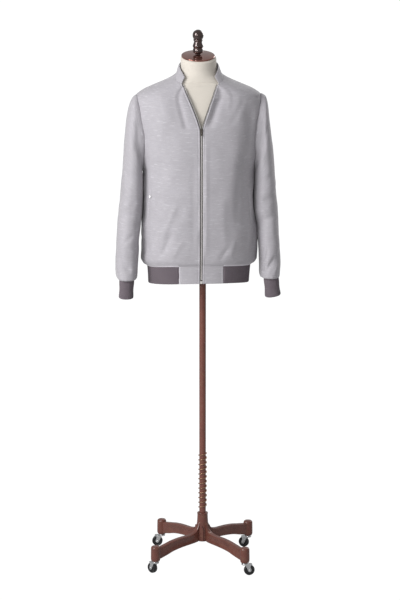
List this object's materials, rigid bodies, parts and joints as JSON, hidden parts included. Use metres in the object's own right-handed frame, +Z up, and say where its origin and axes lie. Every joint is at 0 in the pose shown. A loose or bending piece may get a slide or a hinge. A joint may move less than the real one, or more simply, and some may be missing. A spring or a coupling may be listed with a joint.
{
  "type": "zip-front bomber jacket with rib-knit hem and cuffs, on a dress form with a rolling stand",
  "caption": "Pale grey bomber jacket with stand collar, zip front and rib-knit hem and cuffs, worn by a limbless dress form on a pole with a four-legged base on casters.",
  "frame": {"origin": "on the floor, midway between the jacket's two sleeves; the pole stands 14 mm to the wearer's left of it", "axes": "+Z up, -Y the way the jacket faces, +X the wearer's left"},
  "size_m": [0.5652, 0.3801, 1.873],
  "materials": {
    "slub_cloth": "soft sheen",
    "rib_knit": "matte",
    "zip_tape": "matte",
    "zip_metal": "satin",
    "snap_metal": "polished",
    "form_linen": "matte",
    "dark_bronze": "gloss",
    "copper_disc": "gloss",
    "brown_paint": "satin",
    "cast_base": "satin paint",
    "bright_steel": "satin",
    "black_rubber": "matte"
  },
  "bodies": {
    "jacket_on_stand": {"front_right": "slub_cloth", "front_left": "slub_cloth", "back": "slub_cloth", "collar": "slub_cloth", "sleeve_right": "slub_cloth", "sleeve_left": "slub_cloth", "pocket_welt_right": "slub_cloth", "pocket_welt_left": "slub_cloth", "cuff_right": "rib_knit", "cuff_left": "rib_knit", "hem_rib": "rib_knit", "zip_tape_right": "zip_tape", "zip_tape_left": "zip_tape", "zip_teeth_right": "zip_metal", "zip_teeth_left": "zip_metal", "zip_slider": "zip_metal", "zip_box": "zip_metal", "pocket_snap": "snap_metal", "form_body": "form_linen", "neck_disc": "copper_disc", "finial": "dark_bronze", "pole": "brown_paint", "coil": "brown_paint", "base_hub": "cast_base", "base_leg_rear_left": "cast_base", "base_leg_rear_right": "cast_base", "base_leg_front_right": "cast_base", "base_leg_front_left": "cast_base"},
    "zip_pull": {"zip_pull": "zip_metal"},
    "fork_rear_left": {"fork_rear_left": "bright_steel"},
    "wheel_rear_left": {"wheel_rear_left": "black_rubber"},
    "fork_rear_right": {"fork_rear_right": "bright_steel"},
    "wheel_rear_right": {"wheel_rear_right": "black_rubber"},
    "fork_front_right": {"fork_front_right": "bright_steel"},
    "wheel_front_right": {"wheel_front_right": "black_rubber"},
    "fork_front_left": {"fork_front_left": "bright_steel"},
    "wheel_front_left": {"wheel_front_left": "black_rubber"}
  },
  "joints": [
    {"name": "zip_pull_tilt", "type": "hinge", "parent": "jacket_on_stand", "child": "zip_pull", "pos_m": [0, -0.13126, 1.55167], "axis": [-1, 0, 0], "range_deg": [0, 150]},
    {"name": "swivel_rear_left", "type": "hinge", "parent": "jacket_on_stand", "child": "fork_rear_left", "pos_m": [0.18798, 0.13301, 0.045], "axis": [0, 0, 1], "continuous": true},
    {"name": "roll_rear_left", "type": "hinge", "parent": "fork_rear_left", "child": "wheel_rear_left", "pos_m": [0.17412, 0.14102, 0.01863], "axis": [0.5, 0.866, 0], "continuous": true},
    {"name": "swivel_rear_right", "type": "hinge", "parent": "jacket_on_stand", "child": "fork_rear_right", "pos_m": [-0.11901, 0.17398, 0.045], "axis": [0, 0, 1], "continuous": true},
    {"name": "roll_rear_right", "type": "hinge", "parent": "fork_rear_right", "child": "wheel_rear_right", "pos_m": [-0.13477, 0.17675, 0.01863], "axis": [0.1736, 0.9848, 0], "continuous": true},
    {"name": "swivel_front_right", "type": "hinge", "parent": "jacket_on_stand", "child": "fork_front_right", "pos_m": [-0.15998, -0.13301, 0.045], "axis": [0, 0, 1], "continuous": true},
    {"name": "roll_front_right", "type": "hinge", "parent": "fork_front_right", "child": "wheel_front_right", "pos_m": [-0.17026, -0.12076, 0.01863], "axis": [0.766, 0.6428, 0], "continuous": true},
    {"name": "swivel_front_left", "type": "hinge", "parent": "jacket_on_stand", "child": "fork_front_left", "pos_m": [0.14702, -0.17398, 0.045], "axis": [0, 0, 1], "continuous": true},
    {"name": "roll_front_left", "type": "hinge", "parent": "fork_front_left", "child": "wheel_front_left", "pos_m": [0.16277, -0.1712, 0.01863], "axis": [0.1736, -0.9848, 0], "continuous": true}
  ]
}
